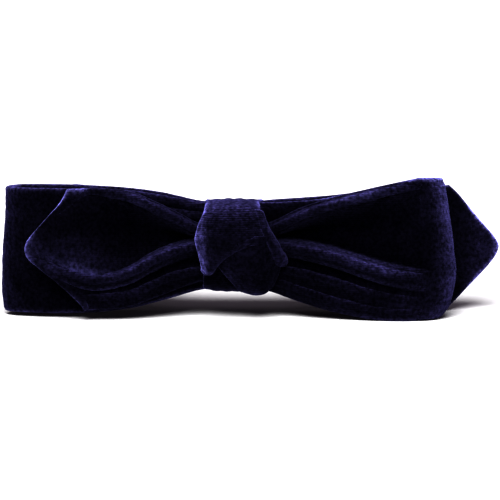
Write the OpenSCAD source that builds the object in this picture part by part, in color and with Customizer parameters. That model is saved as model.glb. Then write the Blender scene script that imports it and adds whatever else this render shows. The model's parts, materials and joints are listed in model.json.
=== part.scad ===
// Knotted bow headband: a sprung hoop, padded and covered in velvet, with a
// three-run velvet bow cinched to its crown by a knotted wrap.
// It stands on its lower edge: +Z up, the bow faces -Y, the hoop opens to +Y.

/* [Bow] */
// Knot centre to the fold of the left loop
left_loop_reach = 90; // [80:1:96]
// Knot centre to the fold of the right loop
right_loop_reach = 88; // [80:1:96]
// Knot centre to the point of the left tail, which lies in front
left_tail_reach = 82; // [76:1:86]
// Knot centre to the point of the right tail, which lies behind
right_tail_reach = 105; // [98:1:112]
// Width of the bow's strip, which is the height of a loop
strip_w = 52; // [48:1:56]
// Thickness of the strip: two layers of velvet and their pile
strip_t = 3; // [2.4:0.1:3.2]
// Thickness of the stiffener sewn inside the strip
stiffener_t = 0.4; // [0.3:0.1:0.6]

/* [Knot] */
// Width of the knot's wrap along the hoop
knot_w = 30; // [28:1:32]
// Height of the knot's wrap
knot_h = 37; // [36:0.5:39]
// Height of the knot's lower edge above the table
knot_z = 9.4; // [8.5:0.1:10]
// Thickness of the wrap
wrap_t = 2.6; // [2.2:0.1:2.8]

/* [Hoop] */
// Radius of the hoop's crown, at the middle of its core
crown_r = 70; // [66:1:74]
// Radius of each arm, which curves in towards its tip
arm_r = 160; // [140:5:200]
// Angle that each arm turns through, from the widest point to the tip
arm_angle = 22; // [18:1:24]
// Width of the plastic core
core_w = 15; // [12:1:18]
// Thickness of the plastic core
core_t = 1.6; // [1.2:0.1:2]
// Thickness of the foam pad on the outside of an arm
pad_t = 3.5; // [2.5:0.1:3.8]
// Thickness of the velvet cover
cover_t = 1; // [0.8:0.1:1.2]
// Thickness of the ribbon lining
lining_t = 0.8; // [0.6:0.1:1]
// Width of the cover at the widest part of an arm
cover_w = 46; // [42:1:47]
// Width of the cover at an arm's tip
tip_w = 18; // [17:1:22]

/* [Hidden] */

$fn = 96;
navy = [0.07, 0.05, 0.20];
dark_navy = [0.05, 0.04, 0.14];
gap = 0.1;                 // glue line between layers that are stuck together
fit = 0.3;                 // clearance between pieces that move apart
big = 400;                 // longer than the whole object
steps = 6;                 // straight pieces in each span of a curve

// Where the three runs of the strip pass through the knot, front to back.
core_x = 11;               // half the width of the gathered strip
run_pitch = 5;
front_run = -7.5;
middle_run = front_run + run_pitch;
back_run = middle_run + run_pitch;
core_back = back_run + strip_t;
core_front = front_run - strip_t + 0.5;

// Height of the middle of the bow and of the hoop's core.
bow_z = strip_w / 2;

// Each tail turns about its own rounded root, inside the edge of the knot.
root_x = core_x + fit + strip_t / 2;
left_root = [15, 36];      // heights of the left tail's root
right_root = [16, 42];     // heights of the right tail's root
core_z = 24;

// The hoop in plan: a crown arc about hoop_y, then an arc along each arm.
crown_y = 10;              // middle of the core where it passes behind the bow
hoop_y = crown_y + crown_r;
tip_x = crown_r - arm_r * (1 - cos(arm_angle));
tip_y = hoop_y + arm_r * sin(arm_angle);
crown_pad_t = 2;           // the knot squeezes the pad

// The flexing point of each arm, just outside the knot.
flex_x = knot_w / 2 + 2.5;
flex_y = hoop_y - sqrt(crown_r * crown_r - flex_x * flex_x);
flex_gap = 0.8;            // half the gap between the crown's layers and an arm's
knuckle_r = core_t / 2;
seat_r = knuckle_r + fit;

// Layers across the hoop, measured outwards from the middle of the core.
pad_in = core_t / 2 + gap;
cover_out = pad_in + pad_t + gap + cover_t;
cover_in = -(core_t / 2 + gap);
lining_in = cover_in - gap - lining_t;

cap_len = 9;               // length of a tip cap
cap_t = 0.9;
cap_y = tip_y + cap_t + 0.3;
lining_r = crown_r + lining_in;
wrap_back = hoop_y - sqrt(lining_r * lining_r - knot_w * knot_w / 4) + fit;
wrap_front = core_front - 3;

// The origin is at the middle of the base of the whole object's box.
bow_front = wrap_front - wrap_t - 4.3;
shift_x = (left_loop_reach - right_tail_reach) / 2;
shift_y = -(bow_front + cap_y) / 2;

// ---------- curves ----------

function catmull(a, b, c, d, t) =
    0.5 * (2 * b + (c - a) * t + (2 * a - 5 * b + 4 * c - d) * t * t
           + (3 * b - a - 3 * c + d) * t * t * t);

// A smooth line through every point of p.
function through(p) = let (last = len(p) - 1) [
    for (i = [0 : last - 1]) for (k = [0 : steps - 1])
        catmull(p[max(i - 1, 0)], p[i], p[i + 1], p[min(i + 2, last)], k / steps),
    p[last]
];

function side_of(p, i) = let (
    last = len(p) - 1,
    d = p[min(i + 1, last)] - p[max(i - 1, 0)]
) [-d.y, d.x] / norm(d);

// The outline of a band of thickness t that follows line p.
function band(p, t) = concat(
    [for (i = [0 : len(p) - 1]) p[i] + side_of(p, i) * t / 2],
    [for (i = [len(p) - 1 : -1 : 0]) p[i] - side_of(p, i) * t / 2]
);

// ---------- the bow ----------

// A plan line swept up in Z, cut to the outline that is seen from the front.
module cloth(line, t, outline, k = 1, middle = [0, 0]) {
    intersection() {
        translate([0, 0, -5]) linear_extrude(height = 70) polygon(band(line, t));
        translate([0, 60, 0]) rotate([90, 0, 0]) linear_extrude(height = 120)
            translate(middle) scale(k) translate(-middle) polygon(outline);
    }
}

// The same with a pocket for its stiffener.
module pocket(line, outline, middle) {
    difference() {
        cloth(line, strip_t, outline);
        cloth(line, stiffener_t + 2 * gap, outline, 0.86, middle);
    }
}

module stiffener(line, outline, middle) {
    cloth(line, stiffener_t, outline, 0.85, middle);
}

left_tail_line = through([
    [-root_x, front_run], [-25, -11], [-45, -15.5],
    [-65, -16.2], [-left_tail_reach - 1, -14]
]);
left_loop_line = through([
    [-core_x, middle_run], [-28, -6], [-50, -9.6], [-72, -8.6],
    [-left_loop_reach + 3.5, -4.2], [-left_loop_reach + strip_t / 2, -0.6],
    [-left_loop_reach + 3.5, 3], [-72, 5], [-45, 5], [-core_x, back_run]
]);
right_loop_line = through([
    [core_x, front_run], [26, -11.6], [46, -16.2], [68, -17.6],
    [right_loop_reach - 4.5, -15], [right_loop_reach - strip_t / 2, -10.8],
    [right_loop_reach - 4.5, -6.8], [68, -5], [40, -3.8], [core_x, middle_run]
]);
right_tail_line = through([
    [root_x, back_run], [35, 2.6], [65, 2.6], [88, 3.2],
    [right_tail_reach + 1, 5]
]);

// Outlines seen from the front, as [x, z].
left_tail_shape = [
    [-root_x, left_root[0]], [-28, 10], [-44, 5.5], [-58.5, 2.6], [-left_tail_reach + 1, 22.5],
    [-left_tail_reach, 25], [-left_tail_reach, 29], [-left_tail_reach + 1, 32],
    [-66, strip_w - 3], [-56, strip_w - 2.4], [-40, strip_w - 5.5], [-26, 41], [-root_x, left_root[1]]
];
left_loop_shape = [
    [-core_x, 14], [-17, 12.6], [-24, 8], [-38, 3.4], [-54, 0.8], [-64, 0], [-left_loop_reach + 4, 0],
    [-left_loop_reach, 3], [-left_loop_reach, 20], [-left_loop_reach + 2, strip_w - 0.6],
    [-left_loop_reach + 6, strip_w], [-56, strip_w], [-38, strip_w - 2], [-24, 46.5],
    [-17, 43.4], [-core_x, 42]
];
right_loop_shape = [
    [core_x, 14], [17, 12.6], [24, 8.5], [40, 4], [56, 0.8], [68, 0], [right_loop_reach - 6, 0],
    [right_loop_reach - 1.6, 4], [right_loop_reach, 18], [right_loop_reach - 0.6, 30],
    [right_loop_reach - 5, strip_w + 1.2], [right_loop_reach - 10, strip_w + 1.5], [64, strip_w - 0.4],
    [44, 46.5], [26, 40.5], [core_x, 37]
];
right_tail_shape = [
    [root_x, right_root[0]], [18, 12], [30, 8], [55, 3], [84, 2], [87, 3], [right_tail_reach - 2, 21.5],
    [right_tail_reach, 25], [right_tail_reach, 27.5], [right_tail_reach - 1, 30],
    [90, 47], [86, 49], [60, 49], [30, 46.5], [18, 43], [root_x, right_root[1]]
];
left_middle = [-52, 26];
right_middle = [60, 26];

module root(x, y, heights) {
    translate([x, y, heights[0]]) cylinder(r = strip_t / 2, h = heights[1] - heights[0]);
}

module left_tail() {
    color(navy) {
        pocket(left_tail_line, left_tail_shape, left_middle);
        root(-root_x, front_run, left_root);
    }
}
module left_tail_stiffener() {
    color("gray") stiffener(left_tail_line, left_tail_shape, left_middle);
}
module right_tail() {
    color(navy) {
        pocket(right_tail_line, right_tail_shape, right_middle);
        root(root_x, back_run, right_root);
    }
}
module right_tail_stiffener() {
    color("gray") stiffener(right_tail_line, right_tail_shape, right_middle);
}
module left_loop() {
    color(navy) pocket(left_loop_line, left_loop_shape, left_middle);
}
module left_loop_stiffener() {
    color("gray") intersection() {
        stiffener(left_loop_line, left_loop_shape, left_middle);
        translate([-big, -big / 2, 0]) cube([big - 16, big, big]);
    }
}
module right_loop() {
    color(navy) pocket(right_loop_line, right_loop_shape, right_middle);
}
module right_loop_stiffener() {
    color("gray") intersection() {
        stiffener(right_loop_line, right_loop_shape, right_middle);
        translate([16, -big / 2, 0]) cube([big, big, big]);
    }
}

// ---------- the knot ----------

// A rounded rectangle in the YZ plane from low to high corner, swept along X.
module tube_block(y0, y1, z0, z1, r, half_x) {
    translate([-half_x, 0, 0]) rotate([90, 0, 90]) linear_extrude(height = 2 * half_x)
        polygon(concat(
            corner(y0 + r, z0 + r, r, 180), corner(y1 - r, z0 + r, r, 270),
            corner(y1 - r, z1 - r, r, 0), corner(y0 + r, z1 - r, r, 90)
        ));
}
function corner(y, z, r, from) = [for (a = [0 : 15 : 90]) [y + r * cos(from + a), z + r * sin(from + a)]];

core_lo = knot_z + wrap_t + 0.5;
core_hi = knot_z + knot_h - wrap_t - 0.5;
thread_r = 0.5;            // half the thickness of the gathering thread
thread_turns = 5;

// The strip's three runs, gathered, with a waist where the thread pulls it in.
module bow_core() {
    color(dark_navy) difference() {
        tube_block(core_front, core_back, core_lo, core_hi, 4, core_x - gap);
        thread_seat();
    }
}
module thread_seat() {
    half = (thread_turns + 0.2) * thread_r;
    difference() {
        tube_block(core_front - 1, core_back + 1, core_lo - 1, core_hi + 1, 4, half);
        thread_inside(half + 1);
    }
}
module thread_inside(half) {
    depth = 2 * thread_r;
    tube_block(core_front + depth, core_back - depth, core_lo + depth, core_hi - depth, 3, half);
}
module gather_thread() {
    color("black") for (i = [0 : thread_turns - 1])
        translate([(i - (thread_turns - 1) / 2) * 2 * thread_r, 0, 0]) difference() {
            tube_block(core_front, core_back, core_lo, core_hi, 4, 0.45);
            tube_block(core_front + 0.9, core_back - 0.9, core_lo + 0.9, core_hi - 0.9, 3, 1);
        }
}

// The wrap goes right round the gathered strip and the hoop's crown.
module knot_wrap() {
    color(navy) difference() {
        tube_block(wrap_front - wrap_t, wrap_back + wrap_t, knot_z, knot_z + knot_h, 7, knot_w / 2);
        tube_block(wrap_front, wrap_back, knot_z + wrap_t, knot_z + knot_h - wrap_t, 2.5, knot_w);
    }
}

// The wrap's own end, knotted over the front and tucked away below.
module knot_tuck() {
    color(navy) translate([0, wrap_front - wrap_t - gap, 0]) rotate([90, 0, 0])
        linear_extrude(height = 4.2) polygon(through([
            [-6, 20], [-2, 13], [3, 9.3], [9, 7.4], [13.2, 9.5], [15.5, 16],
            [14.5, 24], [8, 28], [0, 26.5], [-6, 20]
        ]));
}

// The fold of the same end where it turns round the right side of the knot.
module knot_ear() {
    color(navy) translate([knot_w / 2 + 0.9, wrap_front + 0.6, 0]) rotate([90, 0, 0])
        linear_extrude(height = 3.6) polygon(through([
            [0, 34], [0, 20.5], [2.4, 19.2], [4.6, 21], [4.4, 25.5], [2.2, 30], [0, 34]
        ]));
}

// Stitches that hold the wrap's end at the back of the knot.
tack_count = 6;
module knot_tacks() {
    pitch = 3.6;
    color("black") for (i = [0 : tack_count - 1])
        translate([-2.2, wrap_back + wrap_t + gap + 0.3, bow_z + 2 + (i - (tack_count - 1) / 2) * pitch])
            rotate([0, 90, 0]) cylinder(r = 0.3, h = 4.4);
}

// ---------- the hoop ----------

// A solid band of the hoop on the +X side, between two offsets from the core's middle.
module hoop_plan(inner, outer) {
    linear_extrude(height = 60) {
        intersection() {
            translate([0, hoop_y]) difference() {
                circle(r = crown_r + outer);
                circle(r = crown_r + inner);
            }
            translate([-big, hoop_y - big]) square([2 * big, big]);
        }
        intersection() {
            translate([crown_r - arm_r, hoop_y]) difference() {
                circle(r = arm_r + outer, $fn = 360);
                circle(r = arm_r + inner, $fn = 360);
            }
            translate([0, hoop_y]) square([big, tip_y - hoop_y]);
        }
    }
}

// The widths of the cover along the arm, seen from the side as [y, z].
wide_y = 45;
crown_lo = core_lo + 1.5;
crown_hi = core_hi - 2;
function low_z(inset) = [
    [0, crown_lo + inset], [crown_y, crown_lo + inset], [20, 7 + inset], [wide_y, inset],
    [wide_y + 20, inset], [105, 6.5 + inset], [tip_y, core_z - tip_w / 2 + inset],
    [big / 2, core_z - tip_w / 2 + inset]
];
function high_z(inset) = [
    [0, crown_hi - inset], [crown_y, crown_hi - inset], [20, crown_hi + 3 - inset],
    [wide_y, cover_w - inset], [wide_y + 20, cover_w - 0.6 - inset], [105, 40.5 - inset],
    [tip_y, core_z + tip_w / 2 - inset], [big / 2, core_z + tip_w / 2 - inset]
];
module side_profile(inset) {
    low = [for (p = through(low_z(inset))) [p.x, max(p.y, inset)]];
    high = [for (p = through(high_z(inset))) [p.x, min(p.y, cover_w - inset)]];
    translate([-big / 2, 0, 0]) rotate([90, 0, 90]) linear_extrude(height = big)
        polygon(concat(low, [for (i = [len(high) - 1 : -1 : 0]) high[i]]));
}

// One layer of the padded hoop, inset from the cover's edges.
module layer(inner, outer, inset) {
    intersection() {
        hoop_plan(inner, outer);
        side_profile(inset);
    }
}

// The part of a layer that belongs to the crown, or to the +X arm.
module crown_part() {
    intersection() {
        children();
        translate([-(flex_x - flex_gap), 0, 0]) cube([2 * (flex_x - flex_gap), 40, 60]);
    }
}
module arm_part() {
    intersection() {
        children();
        translate([flex_x + flex_gap, 0, -1]) cube([big, big, 62]);
    }
}
module left() {
    mirror([1, 0, 0]) children();
}

module core_band() {
    intersection() {
        hoop_plan(-core_t / 2, core_t / 2);
        translate([-big, 0, core_z - core_w / 2]) cube([2 * big, big, core_w]);
    }
}
module knuckle(r) {
    translate([flex_x, flex_y, core_z - core_w / 2]) cylinder(r = r, h = core_w);
}

module crown_core() {
    color("white") difference() {
        intersection() {
            core_band();
            translate([-flex_x, 0, 0]) cube([2 * flex_x, 40, 60]);
        }
        knuckle(seat_r);
        left() knuckle(seat_r);
    }
}
module arm_core() {
    color("white") {
        intersection() {
            core_band();
            translate([flex_x, 0, 0]) cube([big, tip_y - 1, 60]);
        }
        knuckle(knuckle_r);
    }
}

module crown_pad() {
    color("lightgray") crown_part() layer(pad_in, pad_in + crown_pad_t, 2);
}
module arm_pad() {
    color("lightgray") intersection() {
        arm_part() layer(pad_in, pad_in + pad_t, cover_t + gap);
        cube([big, tip_y - cap_len - gap, 60]);
    }
}

// The cover is a channel round the pad and the core; the lining closes it.
module channel(pad) {
    top = pad_in + pad + gap;
    difference() {
        layer(cover_in, top + cover_t, 0);
        layer(cover_in - 1, top, cover_t);
    }
}
module crown_cover() {
    color(navy) crown_part() channel(crown_pad_t);
}
module arm_cover() {
    color(navy) difference() {
        arm_part() cut_short(tip_y - cap_len) layer(cover_in, cover_out, 0);
        cut_short(tip_y) layer(cover_in - 1, cover_out - cover_t, cover_t);
    }
}
module cut_short(end_y) {
    intersection() {
        children();
        translate([0, 0, -2]) cube([big, end_y, 70]);
    }
}
module crown_lining() {
    color(dark_navy) crown_part() layer(lining_in, cover_in - gap, 1.5);
}
module arm_lining() {
    color(dark_navy) difference() {
        arm_part() layer(lining_in, cover_in - gap, 1.5);
        translate([0, tip_y - cap_len, 0]) cube([big, big, 60]);
    }
}

// A pocket over the end of an arm, in the frame of the tip: +Y runs along the arm.
module tip_cap() {
    half = tip_w / 2 - 0.6;
    color(navy) difference() {
        intersection() {
            hoop_cap(lining_in, cover_out, tip_y + cap_t);
            translate([0, tip_y - cap_len + gap, core_z]) rotate([0, 90, 0])
                linear_extrude(height = big) polygon(concat(
                    [[half + 0.6, 0], [half, 3]],
                    [for (a = [0 : 15 : 180]) [
                        half * cos(a), cap_len + cap_t - gap + 0.3 - half * 0.7 + half * 0.7 * sin(a)]],
                    [[-half, 3], [-half - 0.6, 0]]
                ));
        }
        intersection() {
            hoop_cap(-core_t / 2 - gap, core_t / 2 + gap, tip_y - 1);
            translate([0, 0, core_z - core_w / 2 - gap]) cube([big, big, core_w + 2 * gap]);
        }
    }
}
module hoop_cap(inner, outer, end_y) {
    linear_extrude(height = 60) intersection() {
        translate([crown_r - arm_r, hoop_y]) difference() {
            circle(r = arm_r + outer, $fn = 360);
            circle(r = arm_r + inner, $fn = 360);
        }
        translate([0, hoop_y]) square([big, end_y + 0.3 - hoop_y]);
    }
}

module place() {
    translate([shift_x, shift_y, 0]) children();
}

place() left_tail();
place() left_tail_stiffener();
place() right_tail();
place() right_tail_stiffener();
place() left_loop();
place() left_loop_stiffener();
place() right_loop();
place() right_loop_stiffener();
place() bow_core();
place() gather_thread();
place() knot_wrap();
place() knot_tuck();
place() knot_ear();
place() knot_tacks();
place() crown_core();
place() crown_pad();
place() crown_cover();
place() crown_lining();
place() left() arm_core();  // left_arm_core
place() left() arm_pad();  // left_arm_pad
place() left() arm_cover();  // left_arm_cover
place() left() arm_lining();  // left_arm_lining
place() left() tip_cap();  // left_tip_cap
place() arm_core();  // right_arm_core
place() arm_pad();  // right_arm_pad
place() arm_cover();  // right_arm_cover
place() arm_lining();  // right_arm_lining
place() tip_cap();  // right_tip_cap
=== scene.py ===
"""Looks of the knotted headband: velvet bow, knot and padded hoop, built round the CAD frame."""
import json
import math

import bpy
import numpy as np
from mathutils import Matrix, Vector

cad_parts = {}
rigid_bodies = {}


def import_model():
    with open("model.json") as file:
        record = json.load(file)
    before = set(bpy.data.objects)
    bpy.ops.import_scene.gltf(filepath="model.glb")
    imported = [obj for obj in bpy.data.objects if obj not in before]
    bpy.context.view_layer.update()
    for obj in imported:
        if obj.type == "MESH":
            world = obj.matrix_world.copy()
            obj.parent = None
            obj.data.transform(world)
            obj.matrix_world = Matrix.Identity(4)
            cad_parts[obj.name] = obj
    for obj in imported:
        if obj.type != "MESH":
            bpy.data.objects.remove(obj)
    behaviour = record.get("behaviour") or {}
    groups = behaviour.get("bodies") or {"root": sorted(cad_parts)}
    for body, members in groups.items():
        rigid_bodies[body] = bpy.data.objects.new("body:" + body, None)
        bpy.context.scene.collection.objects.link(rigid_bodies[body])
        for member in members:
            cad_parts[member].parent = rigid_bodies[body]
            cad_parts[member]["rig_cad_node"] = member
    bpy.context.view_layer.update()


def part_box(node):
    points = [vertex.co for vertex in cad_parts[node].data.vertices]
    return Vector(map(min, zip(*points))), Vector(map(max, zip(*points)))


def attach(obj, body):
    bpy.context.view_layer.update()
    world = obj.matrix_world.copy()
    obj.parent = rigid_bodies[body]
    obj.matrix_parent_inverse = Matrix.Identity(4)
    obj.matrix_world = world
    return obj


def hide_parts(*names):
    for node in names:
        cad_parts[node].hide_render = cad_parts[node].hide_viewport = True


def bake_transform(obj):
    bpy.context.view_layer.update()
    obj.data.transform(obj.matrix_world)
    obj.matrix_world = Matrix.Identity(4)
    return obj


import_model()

MM = 0.001
KNOT_FRONT = -15.6  # mm, where the plan's y axis puts the front of the CAD wrap
wrap_lo, wrap_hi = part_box("knot_wrap")
PLAN = np.array([(wrap_lo.x + wrap_hi.x) / 2 / MM, wrap_lo.y / MM - KNOT_FRONT, 0.0])


# ---------- numbers ----------


def in_row_frame(points):
    """Points in the bow's plan, in mm from the middle of the knot, as metres in the row frame."""
    return (np.asarray(points, float) + PLAN) * MM


def smooth(a, b, x):
    """0 up to a, 1 beyond b, and a soft step between them."""
    t = np.clip((x - a) / (b - a), 0, 1)
    return t * t * (3 - 2 * t)


def catmull(rows, t):
    """Values at positions t (0 to 1) along a smooth line through the given rows."""
    rows = np.asarray(rows, float)
    last = len(rows) - 1
    place = np.clip(np.asarray(t, float) * last, 0, last)
    i = np.minimum(place.astype(int), last - 1)
    f = (place - i).reshape((-1,) + (1,) * (rows.ndim - 1))
    before = np.where((i == 0).reshape(f.shape), 2 * rows[0] - rows[1], rows[np.maximum(i - 1, 0)])
    a, b = rows[i], rows[i + 1]
    at_end = (i + 2 > last).reshape(f.shape)
    after = np.where(at_end, 2 * rows[last] - rows[last - 1], rows[np.minimum(i + 2, last)])
    return 0.5 * (
        2 * a
        + (b - before) * f
        + (2 * before - 5 * a + 4 * b - after) * f**2
        + (3 * a - before - 3 * b + after) * f**3
    )


def value_noise(p, scale, seed):
    """Smooth noise from -1 to 1 at points p, with cells of the given size."""
    q = np.asarray(p, float) / scale + seed * 17.3
    cell = np.floor(q).astype(np.int64)
    f = q - cell
    f = f * f * (3 - 2 * f)
    total = np.zeros(len(q))
    for corner in range(8):
        step = np.array([corner & 1, corner >> 1 & 1, corner >> 2 & 1])
        c = cell + step
        h = (c[:, 0] * 73856093 ^ c[:, 1] * 19349663 ^ c[:, 2] * 83492791) & 0xFFFFFF
        h = (h * 1103515245 + 12345) & 0x7FFFFFFF
        weight = np.prod(np.where(step, f, 1 - f), axis=1)
        total += weight * (h / 0x3FFFFFFF - 1)
    return total


# ---------- cloth ----------


def edge_rich(length, step, rim):
    """Positions from 0 to 1 along a span, close together where its ends are rounded."""
    near = np.array([0, 0.06, 0.2, 0.45, 0.75, 1.0]) * rim / length
    middle = np.linspace(near[-1], 1 - near[-1], max(4, int((length - 2 * rim) / step)))
    return np.concatenate([near[:-1], middle, (1 - near[:-1])[::-1]])


def span(points):
    """The length of a line of points."""
    return float(np.linalg.norm(np.diff(points, axis=0), axis=1).sum())


def grid_from_net(net, step, rim):
    """A dense grid of points on the smooth surface through a net of [station][row] points."""
    net = np.asarray(net, float)
    along = edge_rich(max(span(net[:, k]) for k in range(net.shape[1])), step, rim)
    across = edge_rich(max(span(net[i]) for i in range(len(net))), step, rim)
    lines = catmull(net, along)
    return catmull(lines.transpose(1, 0, 2), across).transpose(1, 0, 2)


def normals_of(grid):
    """The unit normal at each point of a grid."""
    du = np.gradient(grid, axis=0)
    dv = np.gradient(grid, axis=1)
    n = np.cross(du, dv)
    return n / np.maximum(np.linalg.norm(n, axis=2, keepdims=True), 1e-9)


def distance_to_rim(grid, free):
    """How far each point is from the nearest free edge. free names the edges: start, end, low, high."""
    u = np.linalg.norm(np.diff(grid, axis=0, prepend=grid[:1]), axis=2).cumsum(0)
    v = np.linalg.norm(np.diff(grid, axis=1, prepend=grid[:, :1]), axis=2).cumsum(1)
    found = {"start": u, "end": u[-1:] - u, "low": v, "high": v[:, -1:] - v}
    return np.min([found[name] for name in free], axis=0)


def blurred(grid, rounds):
    """The grid smoothed evenly, with its open edges kept in place."""
    out = np.asarray(grid, float)
    for _ in range(rounds):
        for axis in (0, 1):
            moved = np.moveaxis(out, axis, 0)
            before = np.concatenate([2 * moved[:1] - moved[1:2], moved[:-1]])
            after = np.concatenate([moved[1:], 2 * moved[-1:] - moved[-2:-1]])
            out = np.moveaxis(0.25 * before + 0.5 * moved + 0.25 * after, 0, axis)
    return out


def in_scene(name, data):
    """A new object in the scene, made of the given data."""
    obj = bpy.data.objects.new(name, data)
    bpy.context.scene.collection.objects.link(obj)
    return obj


def mesh_object(name, points, faces, material, **marks):
    """A mesh with smooth faces. marks are point attributes, a number for each point."""
    mesh = bpy.data.meshes.new(name)
    mesh.from_pydata(np.asarray(points).tolist(), [], faces)
    mesh.polygons.foreach_set("use_smooth", [True] * len(mesh.polygons))
    for mark, values in marks.items():
        layer = mesh.attributes.new(mark, "FLOAT", "POINT")
        layer.data.foreach_set("value", np.asarray(values, np.float32))
    mesh.materials.append(material)
    mesh.update()
    return in_scene(name, mesh)


BLUR_ROUNDS = 6
FOLD_HEIGHT = 0.62  # mm a crest stands above its surroundings where its painted highlight is full
FLAT = 0.5  # the mark of flat cloth
RIM_SHEEN_LIFT = 0.41  # how far a free edge's mark is above that: a painted rim sheen
ALL_EDGES = ("start", "end", "low", "high")
TABLE = 0.05  # mm, the height at which cloth is pressed flat against what the object lies on


def thick_sheet(name, grid, thickness, material, nap=0.0, seed=1, free=ALL_EDGES, bead=0.35, glow=2.2,
                lifted=None, open_at=None):
    """A closed sheet of cloth on both sides of the grid, with rounded rims. Sizes are in mm.

    Its point attribute "brushed" is painted shade and highlight: it goes from 0 in a trough, in painted
    shade, through FLAT, to 1 on a crest, a painted highlight; a free edge gets the same as a painted rim
    sheen. glow is the width of that rim, and open_at gives, for points, how much of it shows. lifted
    gives a factor for points that paints light above 1 and shade below 1.
    """
    rows, cols = grid.shape[:2]
    normal = normals_of(grid)
    radius = thickness * 0.6
    to_rim = distance_to_rim(grid, free)
    d = np.clip(to_rim / radius, 0, 1)
    half = thickness / 2 * np.sqrt(np.maximum(1 - (1 - d) ** 2, 0))
    half = half * (1 + bead * np.exp(-((to_rim / glow) ** 2)))
    if nap:
        flat = grid.reshape(-1, 3)
        fuzz = value_noise(flat, 0.9, seed) * 0.6 + value_noise(flat, 2.3, seed + 1)
        half = half + nap * fuzz.reshape(rows, cols) * np.minimum(d, 1)
    front = grid + normal * half[..., None]
    back = grid - normal * half[..., None]
    points = np.concatenate([front.reshape(-1, 3), back.reshape(-1, 3)])
    points[:, 2] = np.maximum(points[:, 2], TABLE)
    # Painted shade in troughs and painted highlight on crests, from how far the cloth stands out of its
    # blurred shape.
    rise = ((grid - blurred(grid, BLUR_ROUNDS)) * normal).sum(2) / FOLD_HEIGHT
    brushed = np.concatenate([np.clip(FLAT + (1 - FLAT) * side * rise, 0, 1).ravel() for side in (1, -1)])
    # Painted rim sheen near the free edges.
    rim_sheen_share = np.tile(1 - smooth(0.2 * glow, 1.25 * glow, to_rim).ravel(), 2)
    if open_at is not None:
        rim_sheen_share = rim_sheen_share * open_at(points)
    brushed = np.maximum(brushed, (FLAT + RIM_SHEEN_LIFT * rim_sheen_share) * (rim_sheen_share > 0.05))
    # Painted light and shade that each piece gives for its points.
    if lifted is not None:
        brushed = brushed * lifted(points)
    index = np.arange(rows * cols).reshape(rows, cols)
    other = np.where(half < 1e-6, index, index + rows * cols)  # the two sides share a rounded rim's points
    faces = []
    for i in range(rows - 1):
        for j in range(cols - 1):
            faces.append((index[i, j], index[i, j + 1], index[i + 1, j + 1], index[i + 1, j]))
            faces.append((other[i, j], other[i + 1, j], other[i + 1, j + 1], other[i, j + 1]))
    for near, far in (
        (index[:, 0], other[:, 0]), (index[::-1, -1], other[::-1, -1]),
        (index[0, ::-1], other[0, ::-1]), (index[-1], other[-1]),
    ):
        for face in zip(near, near[1:], far[1:], far):
            corners = list(dict.fromkeys(int(c) for c in face))
            if len(corners) > 2:
                faces.append(tuple(corners))
    used = sorted({int(c) for f in faces for c in f})
    renumber = {c: n for n, c in enumerate(used)}
    faces = [tuple(renumber[int(c)] for c in f) for f in faces]
    along = np.tile(np.linalg.norm(np.diff(grid[:, cols // 2], axis=0, prepend=0), axis=1)[:, None], cols)
    along[0] = 0
    along = np.tile(along.cumsum(0).ravel(), 2)
    return mesh_object(name, in_row_frame(points[used]), faces, material,
                       brushed=brushed[used], along=along[used])


def faces_between(count, size, base=0):
    """The faces between rings of points that follow one another, from point number base on."""
    faces = []
    for row in range(base, base + (count - 1) * size, size):
        for j in range(size):
            k = (j + 1) % size
            faces.append((row + j, row + k, row + size + k, row + size + j))
    return faces


def closed_loft(name, rings, material):
    """A closed solid through rings of points, in mm, with a middle point on each end."""
    rings = np.asarray(rings, float)
    count, size = rings.shape[:2]
    points = np.concatenate([rings.reshape(-1, 3), [rings[0].mean(0), rings[-1].mean(0)]])
    faces = faces_between(count, size)
    last = (count - 1) * size
    for j in range(size):
        k = (j + 1) % size
        faces.append((k, j, count * size))
        faces.append((last + j, last + k, count * size + 1))
    return mesh_object(name, in_row_frame(points), faces, material, brushed=np.full(len(points), FLAT))


def tube_rings(path, radius, sides):
    """Rings of a round tube along a path, narrower at its tips."""
    path = np.asarray(path, float)
    ahead = np.gradient(path, axis=0)
    ahead /= np.linalg.norm(ahead, axis=1, keepdims=True)
    side = np.cross(ahead[0], (0.31, 0.52, 0.8))
    rings = []
    for i, (point, forward) in enumerate(zip(path, ahead)):
        side = side - forward * (side @ forward)
        side /= np.linalg.norm(side)
        up = np.cross(forward, side)
        width = radius * (0.6 if i in (0, len(path) - 1) else 1.0)
        turn = np.linspace(0, 2 * math.pi, sides, endpoint=False)[:, None]
        rings.append(point + width * (np.cos(turn) * side + np.sin(turn) * up))
    return rings


def tubes(name, paths, radius, material, sides=8):
    """Several round threads as one piece. Each path is a list of points, in mm."""
    points, faces = [], []
    for path in paths:
        rings = np.asarray(tube_rings(path, radius, sides))
        count, base = len(rings), len(points)
        points.extend(rings.reshape(-1, 3))
        faces += faces_between(count, sides, base)
        faces.append(tuple(base + j for j in reversed(range(sides))))
        faces.append(tuple(base + (count - 1) * sides + j for j in range(sides)))
    return mesh_object(name, in_row_frame(points), faces, material)


def crest(heights, reliefs, width=1.0, drop=2.4, steep=1.0):
    """The rows of a fold: a narrow crest, a gentle side below it and a steep side above it.

    drop is how far the gentle side falls back, and the steep side falls back by steep times that.
    """
    wide = np.broadcast_to(width, len(heights))
    fall = np.broadcast_to(drop, len(heights))
    steep = np.broadcast_to(steep, len(heights))
    rows = []
    for side, share in ((-1.9, 1.0), (-0.85, 0.58), (0.0, 0.0), (0.85, 0.58), (1.9, 1.0)):
        spread = 1.35 if side < 0 else 0.55
        rows.append((
            [z + side * spread * w for z, w in zip(heights, wide)],
            [r + share * d * (1 if side < 0 else k) for r, d, k in zip(reliefs, fall, steep)],
        ))
    return rows


def net_of(stations, depths, rows):
    """A net from a table: each row holds its height and its relief at every station."""
    return [
        [(x, depths[i] + relief[i], height[i]) for height, relief in rows]
        for i, x in enumerate(stations)
    ]
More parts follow.
